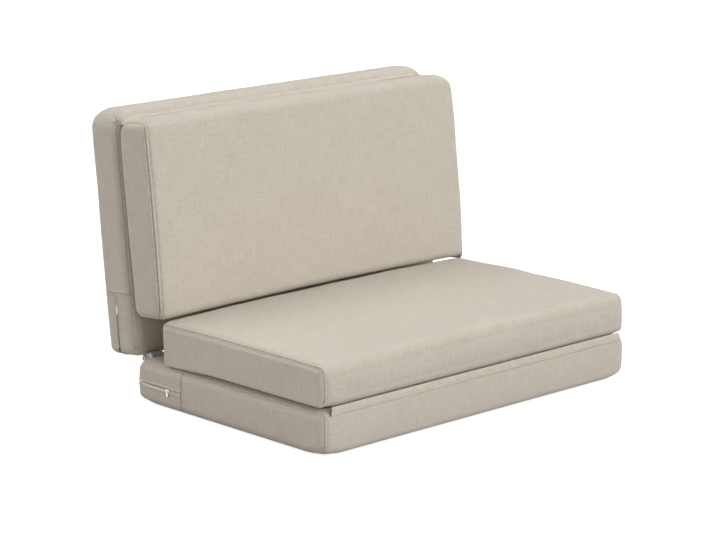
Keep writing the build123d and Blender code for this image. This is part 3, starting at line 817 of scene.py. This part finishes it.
def makeCover(name, form, extraRelief=None):
    """A section's cover: its plain shape, its seams, the cloth's unevenness and extraRelief."""
    body = form["body"]
    node = body + "_cover"
    pad = padMesh(buildPad(form))
    bare = meshObject(name + "_bare", pad["points"], pad["faces"])
    normals = meshNormals(bare.data)
    bpy.data.objects.remove(bare)
    points = pad["points"]
    points[:, 2] += liftedEdges(points, form)
    relief = pad["weightAll"] * (seamRelief(pad["offAll"], form["second"]) + gatherRelief(pad))
    for share, seed, length in ((1, form["seed"], 170 * mm), (0.3, form["seed"] + 1, 62 * mm)):
        relief += share * form["undulation"] * waves(points, seed, length)
    if form["filled"]:
        moved = filledOut(name + "_fill", points, pad["faces"], normals)
        moved = evenedOut(moved, pad["faces"], fillSettings["evening"])
        relief += fillSettings["keepShare"] * (moved - fillSettings["capShare"] * fillSettings["cap"])
    slotShadeMask = np.zeros(len(points), bool)
    if extraRelief is not None:
        added, slotShadeMask = extraRelief(points, normals)
        relief += added
    relief *= freeShare(points, normals, form)
    pad["normals"] = normals
    pad["shaped"] = points + normals * relief[:, None]
    cover = meshObject(name, pad["shaped"], pad["faces"], pad["uv"])
    seamPlace = np.stack([pad["wayAll"], pad["offAll"], seamNearness(pad["offAll"])], -1)
    attribute = cover.data.attributes.new("seamPlace", "FLOAT_VECTOR", "POINT")
    attribute.data.foreach_set("vector", seamPlace.astype(np.float32).reshape(-1))
    cover.data.materials.append(clothCover)
    cover.data.materials.append(tapeAndSlotShade)
    # Faces in a zip's open slot take the near-black tape material: painted shade in the slot
    slotShadeFaces = slotShadeMask[pad["faces"]].all(axis=1)
    cover.data.polygons.foreach_set("material_index", slotShadeFaces.astype(np.int32))
    cover.data.transform(form["place"])
    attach(cover, body)
    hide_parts(node)
    print(name, "made with", len(pad["faces"]), "faces")
    return pad


foamInset = 8.5 * mm
foamDetail = 0.12


def makeFoam(form, blocks):
    """The foam inside a cover, as blocks cut off by planes: (piece, node, point in mm, outward) each."""
    body = form["body"]
    place = form["place"] @ Matrix.Translation((0, foamInset, foamInset))
    inner = {**form, "zMarks": (), "yMarks": ()}
    for size in ("width", "depth", "height"):
        inner[size] = form[size] - 2 * foamInset
    pad = padMesh(buildPad(inner))
    pad["points"][:, 2] += liftedEdges(pad["points"], inner)
    whole = meshObject(form["name"] + "_foam", pad["points"], pad["faces"])
    whole.modifiers.new("Fewer", "DECIMATE").ratio = foamDetail
    light = shapedMesh(whole)
    bpy.data.objects.remove(whole)
    for name, node, point, outward in blocks:
        mesh = bmesh.new()
        mesh.from_mesh(light)
        if outward is not None:
            everything = mesh.verts[:] + mesh.edges[:] + mesh.faces[:]
            plane = {"plane_co": inMm(point), "plane_no": outward}
            cut = bmesh.ops.bisect_plane(mesh, geom=everything, clear_outer=True, **plane)
            rim = [edge for edge in cut["geom_cut"] if isinstance(edge, bmesh.types.BMEdge)]
            bmesh.ops.edgeloop_fill(mesh, edges=rim)
            bmesh.ops.recalc_face_normals(mesh, faces=mesh.faces)
        data = bpy.data.meshes.new(name)
        mesh.to_mesh(data)
        mesh.free()
        data.transform(place)
        data.materials.append(foamMaterial)
        foam = addObject(name, data)
        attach(foam, body)
        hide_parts(node)


def freeShare(points, normals, form):
    """How much of its relief each point keeps: none on an underside that lies on something."""
    if form["lift"] is None:
        return 1
    top = 14 * mm
    return 1 - smoothStep(0.55, 0.9, -normals[:, 2]) * (1 - smoothStep(top / 2, top, points[:, 2]))


def liftedEdges(points, form):
    """How much higher the underside lies along a section's sides, its front and at its corners."""
    lift = form["lift"]
    if lift is None:
        return 0
    near, far = inMm((9, 60))
    side, front, rear = form["width"] / 2 - np.abs(points[:, 0]), points[:, 1], form["depth"] - points[:, 1]
    low = np.clip(1 - points[:, 2] / form["height"], 0, 1) ** 1.5
    sideShare = (1 - smoothStep(near, far, side)) * np.where(points[:, 0] < 0, 1, lift["rightShare"])
    sideShare *= 1 - (1 - lift["rearShare"]) * (1 - smoothStep(15 * mm, 190 * mm, rear))
    frontShare = 1 - smoothStep(near, far, front)
    cornerShare = 1 - smoothStep(8 * mm, 62 * mm, np.hypot(side, np.minimum(front, rear)))
    edge = np.maximum(lift["side"] * sideShare, lift["front"] * frontShare)
    return low * (edge + lift["corner"] * cornerShare)


def endShare(points, form, inner):
    """1 on a section's end panels, and 0 further in than inner from the ends."""
    fromMiddle = np.abs(points[:, 0])
    return smoothStep(form["width"] / 2 - inner, form["width"] / 2 - inner + 12 * mm, fromMiddle)


def baseRelief(points, normals):
    """The base's zip, its placket and the seam where the zip's panel starts."""
    atEnd = endShare(points, baseSlab, 24 * mm)
    seamY = baseSlab["yMarks"][0]
    panel = lineRelief(points[:, 1] - seamY, 1.7 * mm, 0.9 * mm) * atEnd
    fromZip = points[:, 2] - baseSlab["zMarks"][0]
    facing = np.maximum(atEnd, smoothStep(0.5, 0.8, normals[:, 1]))
    behind = smoothStep(seamY, seamY + 2 * mm, points[:, 1]) * facing
    isOpen = smoothStep(469 * mm, 473 * mm, points[:, 1])
    corner = smoothStep(500 * mm, 550 * mm, points[:, 1]) * atEnd
    bulge = 1.2 * mm * corner * hill(fromZip, 22 * mm)
    relief = panel + zipShape(baseZip, fromZip, isOpen) * behind + bulge
    return relief, paintedSlotShade(baseZip, fromZip, behind * isOpen)


def backRelief(points, normals):
    """The back slab's zip, the seam above it and the folds at its upper front corners."""
    atEnd = endShare(points, backSlab, 20 * mm)
    seamZ = backSlab["zMarks"][0]
    panel = lineRelief(points[:, 2] - seamZ, 2.2 * mm, 1 * mm) * atEnd
    fromZip = points[:, 1] - backSlab["yMarks"][0]
    facing = np.maximum(atEnd, smoothStep(0.5, 0.8, -normals[:, 2]))
    below = smoothStep(-seamZ, -seamZ + 2 * mm, -points[:, 2]) * facing
    isOpen = smoothStep(-112 * mm, -108 * mm, -points[:, 2])
    folds = cornerFolds(points, 5 * mm, backSlab["height"] - 27 * mm, 1.5 * mm)
    relief = panel + zipShape(backZip, fromZip, isOpen) * below + folds
    return relief, paintedSlotShade(backZip, fromZip, below * isOpen)


def cornerFolds(points, y, z, height):
    """Folds at both upper corners, fanning out from where a strip pulls on the cloth."""
    total = np.zeros(len(points))
    for side in (-1, 1):
        fromCorner = points - np.array([side * 443 * mm, y, z])
        angle = np.arctan2(fromCorner[:, 2], fromCorner[:, 1])
        distance = np.linalg.norm(fromCorner, axis=1)
        fold = np.sin(9 * angle + side) * height
        total += fold * hill(distance, 17 * mm) * smoothStep(0, 5 * mm, distance)
    return total


def cushionRelief(points, normals):
    """The folds at the back cushion's upper rear corners; it has no zip slot, so no faces take the tape's
    painted shade.
    """
    y, z = backCushion["depth"] - 20 * mm, backCushion["height"] - 12 * mm
    return cornerFolds(points, y, z, 1.1 * mm), np.zeros(len(points), bool)


basePad = makeCover("base_slab_cover", baseSlab, baseRelief)
seatPad = makeCover("seat_cushion_pad", seatCushion)
slabPad = makeCover("back_slab_cover", backSlab, backRelief)
cushionPad = makeCover("back_cushion_pad", backCushion, cushionRelief)


makeFoam(
    baseSlab,
    (
        ("base_foam_block_lower", "base_foam_lower", (0, 0, 48.8), (0, 0, 1)),
        ("base_foam_block_upper", "base_foam_upper", (0, 0, 49.2), (0, 0, -1)),
    ),
)
makeFoam(seatCushion, (("seat_cushion_foam_block", "seat_cushion_foam", None, None),))
makeFoam(
    backSlab,
    (
        ("back_foam_block_front", "back_foam_front", (0, 28.3, 0), (0, 1, 0)),
        ("back_foam_block_rear", "back_foam_rear", (0, 28.7, 0), (0, -1, 0)),
    ),
)
makeFoam(backCushion, (("back_cushion_foam_block", "back_cushion_foam", None, None),))
print("foam made")


# Stitches and zip teeth: one small solid repeated along paths by geometry nodes
def pathObject(name, paths):
    """Edges along each path, with the way out of the cloth at each point."""
    points, edges, outward = [], [], []
    for path, normals in paths:
        first = len(points)
        points += [tuple(point) for point in path]
        outward += [tuple(normal) for normal in normals]
        edges += [(first + step, first + step + 1) for step in range(len(path) - 1)]
    mesh = bpy.data.meshes.new(name)
    mesh.from_pydata(points, edges, [])
    attribute = mesh.attributes.new("outward", "FLOAT_VECTOR", "POINT")
    attribute.data.foreach_set("vector", np.array(outward, np.float32).reshape(-1))
    return addObject(name, mesh)


def repeatTree(stamp):
    """Sets a small solid along a path: its Z is the way out of the cloth and its X runs along."""
    inputs = {"Path": "Geometry", "Spacing": "Float", "Size": "Vector", "Finish": "Material"}
    tree, given, made = newGroup("repeat_" + stamp, inputs, {"Pieces": "Geometry"}, "Geometry")
    curve = addNode(tree, "GeometryNodeMeshToCurve", {"Mesh": given["Path"]}).outputs[0]
    spread = {"Curve": curve, "Length": given["Spacing"]}
    spots = addNode(tree, "GeometryNodeResampleCurve", spread, mode="LENGTH").outputs[0]
    if stamp == "thread":
        solid = addNode(tree, "GeometryNodeMeshIcoSphere", {"Radius": 0.5, "Subdivisions": 2})
    else:
        solid = addNode(tree, "GeometryNodeMeshCube", {"Size": (1, 1, 1)})
    named = addNode(tree, "GeometryNodeInputNamedAttribute", {"Name": "outward"}, data_type="FLOAT_VECTOR")
    tangent = addNode(tree, "GeometryNodeInputTangent").outputs[0]
    align = "FunctionNodeAlignRotationToVector"
    lift = addNode(tree, align, {"Vector": named.outputs["Attribute"]}, axis="Z").outputs[0]
    face = addNode(tree, align, {"Rotation": lift, "Vector": tangent}, axis="X", pivot_axis="Z").outputs[0]
    placing = {"Points": spots, "Instance": solid.outputs["Mesh"], "Rotation": face, "Scale": given["Size"]}
    place = addNode(tree, "GeometryNodeInstanceOnPoints", placing).outputs[0]
    real = addNode(tree, "GeometryNodeRealizeInstances", {0: place}).outputs[0]
    finish = {"Geometry": real, "Material": given["Finish"]}
    feed(tree, made, {0: addNode(tree, "GeometryNodeSetMaterial", finish).outputs[0]})
    return tree


repeatTrees = {stamp: repeatTree(stamp) for stamp in ("thread", "tooth")}


def repeatAlong(name, paths, stamp, spacing, size, material):
    path = pathObject(name + "_path", paths)
    modifier = path.modifiers.new("Repeat", "NODES")
    modifier.node_group = repeatTrees[stamp]
    given = {"Spacing": spacing, "Size": size, "Finish": material}
    for item in modifier.node_group.interface.items_tree:
        if item.name in given:
            modifier[item.identifier] = given[item.name]
    mesh = shapedMesh(path)
    bpy.data.objects.remove(path)
    mesh.name = name
    if stamp == "thread":
        mesh.shade_smooth()
    return addObject(name, mesh)


def gridPath(pad, numbers, lift):
    """A path along numbered points of a cover's surface, lifted off it, and its ways out."""
    place = pad["form"]["place"]
    normals = pad["normals"][numbers]
    points = [place @ Vector(point) for point in pad["shaped"][numbers] + normals * lift]
    return points, [place.to_3x3() @ Vector(normal) for normal in normals]


stitchLook = inMm({"spacing": 3.6, "size": (2.7, 0.62, 0.42), "lift": 0.08})
zipLook = inMm({"spacing": 1.5, "lift": 0.6, "baseFrom": 472, "backFrom": 110})


def seamStitches(pad):
    """A row of stitches round each end, beside the side panel's seam."""
    name, body = pad["form"]["name"] + "_stitches", pad["form"]["body"]
    paths = []
    away = padRows["seam"].index(seamShape["secondOff"])
    for ring in (pad["seamRing"] + away, -1 - pad["seamRing"] - away):
        numbers = np.append(pad["index"][ring], pad["index"][ring][0])
        paths.append(gridPath(pad, numbers, stitchLook["lift"]))
    threads = repeatAlong(name, paths, "thread", stitchLook["spacing"], stitchLook["size"], threadMaterial)
    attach(threads, body)


for pad in (basePad, seatPad, slabPad, cushionPad):
    seamStitches(pad)
print("seams stitched")


def nearest(values, value):
    return int(np.argmin(np.abs(values - value)))


def markRow(pad, face, axis, value):
    """The row of a pad's grid that runs along a mark on one of its faces."""
    ring = pad["grid"][pad["grid"].shape[0] // 2]
    kind, share, sides = padSamples(pad["form"])
    rows = np.nonzero(kind == face + 4)[0]
    return int(rows[nearest(ring[rows, axis], value)])


def zipPath(pad, upright, limit):
    """The zip's middle line: along the left end, round the corner, across and back along the right end."""
    left, right = pad["patches"]
    points, form = pad["points"], pad["form"]
    if upright:
        mark = form["yMarks"][0]
        line = nearest(points[left[:, 0], 1], mark)
        down, up = left[line, ::-1], right[line, :]
        row = markRow(pad, 0, 1, mark)
        kept = points[:, 2] < limit
    else:
        mark = form["zMarks"][0]
        line = nearest(points[left[-1, :], 2], mark)
        down, up = left[:, line], right[::-1, line]
        row = markRow(pad, 1, 2, mark)
        kept = points[:, 1] > limit
    numbers = np.concatenate([down[kept[down]], pad["index"][1:-1, row], up[kept[up]]])
    return gridPath(pad, numbers, zipLook["lift"])


basePath = zipPath(basePad, False, zipLook["baseFrom"])
backPath = zipPath(slabPad, True, zipLook["backFrom"])
for name, path, size, material, body, node in (
    ("base_zip_teeth", basePath, (0.95, 4.2, 1.7), toothMaterial, "base", "base_zip_coil"),
    # the back zip's near-black teeth are painted shade
    ("back_zip_teeth", backPath, (0.85, 2.6, 1.1), shadedTeeth, "back", "back_zip_coil"),
):
    teeth = repeatAlong(name, [path], "tooth", zipLook["spacing"], inMm(size), material)
    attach(teeth, body)
    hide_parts(node)
print("zips made")


def worked(obj):
    """Makes an object's modifiers part of its mesh."""
    mesh = shapedMesh(obj)
    obj.modifiers.clear()
    obj.data = mesh
    return obj


def bevelled(obj, width, segments):
    edge = obj.modifiers.new("Edge", "BEVEL")
    edge.width, edge.segments, edge.limit_method = width, segments, "ANGLE"
    return worked(obj)


# The two cloth strips that join the sections, each drawn by its profile in Y and Z. Both ripple along their
# length; the top one also sags a little between its seams and droops where the sections' ends turn in.
ripples = inMm({"height": 0.28, "length": 17, "drift": 41})
sectionEnd = 450 * mm
stripColumn = 6 * mm


def stripSheet(name, settings, place):
    """A strip along X with a softly uneven profile and rounded edges, and its flat length."""
    halfWidth, thickness = settings["halfWidth"], settings["thickness"]
    columns = round(2 * halfWidth / stripColumn)
    curve = smoothCurve(settings["profile"], 22)
    way = lengthsAlong(curve)
    rows = len(curve)
    points, faces, uv = [], [], []
    for column in range(columns + 1):
        across = -1 + 2 * column / columns
        for row, (y, z) in enumerate(curve):
            along = row / (rows - 1)
            free = math.sin(math.pi * along)
            x = across * (halfWidth - settings["slant"] * along * abs(across) ** 40)
            wander = 1.3 * math.sin(x / ripples["drift"])
            ripple = ripples["height"] * math.sin(x / ripples["length"] + wander)
            sag = settings["sag"] * (1 - across**8)
            droop = float(turnedIn(settings["droop"], sectionEnd - abs(x)))
            points.append((x, y, z + (ripple - sag) * free - droop))
    for column in range(columns):
        for row in range(rows - 1):
            corners = [(column + right, row + onward) for right, onward in squareCorners]
            faces.append([across * rows + along for across, along in corners])
            uv += [(across * 2 * halfWidth / columns, way[along]) for across, along in corners]
    obj = meshObject(name, points, faces, uv)
    obj.data.transform(place)
    solid = obj.modifiers.new("Thickness", "SOLIDIFY")
    solid.thickness, solid.offset = thickness, 0
    bevelled(obj, thickness * 0.35, 2)
    obj.data.materials.append(clothStrip)
    return obj, float(way[-1])


def smoothCurve(points, count):
    """Points evenly along a smooth curve through the given ones."""
    points = np.array(points, float)
    way = lengthsAlong(points)
    slopes = np.gradient(points, way, axis=0)
    curve = []
    for here in np.linspace(0, way[-1], count):
        first = min(int(np.searchsorted(way, here, side="right")) - 1, len(points) - 2)
        span = way[first + 1] - way[first]
        share = (here - way[first]) / span
        left = 1 - share
        place = (1 + 2 * share) * left**2 * points[first] + share**2 * (3 - 2 * share) * points[first + 1]
        lean = share * left**2 * slopes[first] - share**2 * left * slopes[first + 1]
        curve.append(place + span * lean)
    return np.array(curve)


frontStrip = inMm({
    "profile": (
        (-289.4, 84.4),
        (-290.9, 86.4),
        (-291.6, 90.2),
        (-291.8, 94),
        (-291.4, 98),
        (-290.4, 100.8),
        (-288.9, 102.6),
    ),
    "halfWidth": 428,
    "thickness": 1.5,
    "sag": 0,
    "slant": 4,
    "droop": (10, 0),
    "blend": (93, 99.5),
})
topStrip = inMm({
    "profile": (
        (-31, 509.6),
        (-26, 510.4),
        (-20, 510.2),
        (-13, 510.3),
        (-6, 511.6),
        (-1, 514.8),
        (3.5, 519.6),
    ),
    "halfWidth": 437,
    "thickness": 1.4,
    "sag": 0.8,
    "slant": 0,
    "droop": (46, 46),
    "blend": (-17, -5),
})


def makeStrips():
    strip, length = stripSheet("front_hinge_strip", frontStrip, Matrix.Identity(4))
    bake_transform(strip)
    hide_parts("front_strip_lower", "front_strip_upper")
    strip, length = stripSheet("top_hinge_strip", topStrip, backPlace)
    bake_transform(strip)
    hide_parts("top_strip_front", "top_strip_rear")


makeStrips()
print("strips made")

# Slimmer looks for the hinges' outer plates and housings: a circle at the hinge, and one far from it
hingeLook = inMm({
    "plate": {"round": 7, "far": (168, 44, 7), "x": (422, 424.6), "bevel": 0.5},
    "shell": {"round": 10.4, "far": (275, 93, 9.2), "x": (388.5, 421.8), "bevel": 1.6},
})


def hullPlate(name, near, far, xRange, bevel):
    """A plate across X whose outline wraps two circles, each given by Y, Z and its radius."""
    heading = math.atan2(far[1] - near[1], far[0] - near[0])
    opening = math.acos((near[2] - far[2]) / math.hypot(far[0] - near[0], far[1] - near[1]))
    arcs = ((near, opening, 2 * math.pi - 2 * opening, 24), (far, -opening, 2 * opening, 16))
    outline = []
    for (y, z, radius), start, turn, steps in arcs:
        for step in range(steps + 1):
            angle = heading + start + turn * step / steps
            outline.append((y + radius * math.cos(angle), z + radius * math.sin(angle)))
    count = len(outline)
    points = [(x, y, z) for x in sorted(xRange) for y, z in outline]
    faces = [tuple(range(count))[::-1], tuple(range(count, 2 * count))]
    for here in range(count):
        after = (here + 1) % count
        faces.append((here, after, count + after, count + here))
    obj = bevelled(meshObject(name, points, faces), bevel, 3)
    obj.data.shade_flat()
    return obj


for side, sign in (("left", -1), ("right", 1)):
    for kind, node, slot in (
        ("plate", "hinge_lower_arm_" + side, "bright_steel"),
        ("shell", "hinge_housing_" + side, "dark_paint"),
    ):
        look = hingeLook[kind]
        near, across = (hinge.y, hinge.z, look["round"]), [sign * x for x in look["x"]]
        piece = hullPlate(f"hinge_{kind}_{side}", near, look["far"], across, look["bevel"])
        piece.data.materials.append(darkPaint)
        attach(piece, "base")
        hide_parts(node)
print("hinges made")

# The carried-over pieces of the frame and what they are made of
finishes = (
    (foamMaterial, "foam"),
    (slatWood, "slats"),
    (tapeAndSlotShade, "zip_tape"),
    (sliderMaterial, "base_zip_slider", "base_zip_pull"),
    # the back zip's slider and pull take the darker copy: painted shade
    (shadedSlider, "back_zip_slider", "back_zip_pull"),
    (framePaint, "base_frame", "back_frame"),
    (brightSteel, "bolts", "rivets", "lower_arm"),
    (darkPaint, "upper_arm", "housing_left", "housing_right"),
    (plainSteel, "axle", "pawl", "disc"),
)
for name, obj in frame["nodes"].items():
    for material, *words in finishes:
        if any(word in name for word in words):
            obj.data.materials.clear()
            obj.data.materials.append(material)


# Floor, light and camera
studio = {
    "world": 0.03,
    "floorColour": 0.42,
    "floorGlow": 0.85,
    "lamps": {
        "key": {"energy": 3.3, "angle": 80, "from": (0.32, -0.8, 0.22), "colour": (1, 0.997, 1)},
        "fill": {"energy": 1.9, "angle": 90, "from": (-0.8, 0.5, 0.38), "colour": (1, 0.935, 0.943)},
        "top": {"energy": 1.62, "angle": 50, "from": (0.1, 0.28, 0.95), "colour": (0.955, 0.985, 1)},
    },
}


def seenDirectly(tree):
    """1 where the camera sees a surface itself, in a mirror or through glass."""
    path = addNode(tree, "ShaderNodeLightPath").outputs
    seen = mathNode(tree, "MAXIMUM", path["Is Camera Ray"], path["Is Glossy Ray"])
    return mathNode(tree, "MAXIMUM", seen, path["Is Transmission Ray"])


def aim(obj, direction, axis):
    obj.rotation_mode = "QUATERNION"
    obj.rotation_quaternion = direction.to_track_quat(axis, "Y")


def makeStudio():
    world = bpy.data.worlds.new("studio")
    bpy.context.scene.world = world
    world.use_nodes = True
    tree = world.node_tree
    strength = addUp(tree, times(tree, seenDirectly(tree), 1 - studio["world"]), studio["world"])
    feed(tree, tree.nodes["Background"], {"Color": (1, 1, 1, 1), "Strength": strength})
    for name, settings in studio["lamps"].items():
        lamp = bpy.data.lights.new(name, "SUN")
        lamp.energy, lamp.angle = settings["energy"], math.radians(settings["angle"])
        lamp.color = settings["colour"]
        aim(addObject(name, lamp), Vector(settings["from"]), "Z")
    floor = meshObject("floor", [(-9, -9, 0), (9, -9, 0), (9, 9, 0), (-9, 9, 0)], [(0, 1, 2, 3)])
    colour = (*[studio["floorColour"]] * 3, 1)
    finish = {"Roughness": 0.9, "Base Color": colour, "Emission Color": (1, 1, 1, 1)}
    material, tree, shader = newMaterial("studio_floor", finish)
    feed(tree, shader, {"Emission Strength": times(tree, seenDirectly(tree), studio["floorGlow"])})
    floor.data.materials.append(material)


cameraSettings = {"place": (-3.8508, -3.9755, 1.5607), "yaw": 43.4963, "pitch": 13.2175, "lens": 134.66}


def makeCamera():
    yaw, pitch = math.radians(cameraSettings["yaw"]), math.radians(cameraSettings["pitch"])
    ahead = Vector((math.sin(yaw) * math.cos(pitch), math.cos(yaw) * math.cos(pitch), -math.sin(pitch)))
    data = bpy.data.cameras.new("camera")
    data.lens, data.sensor_width, data.sensor_fit = cameraSettings["lens"], 36, "HORIZONTAL"
    data.clip_start, data.clip_end = 0.1, 60
    camera = addObject("camera", data)
    camera.location = cameraSettings["place"]
    camera.rotation_mode = "QUATERNION"
    camera.rotation_quaternion = ahead.to_track_quat("-Z", "Y")
    bpy.context.scene.camera = camera


makeStudio()
makeCamera()
bpy.context.scene.view_settings.view_transform = "Standard"
print("scene ready")
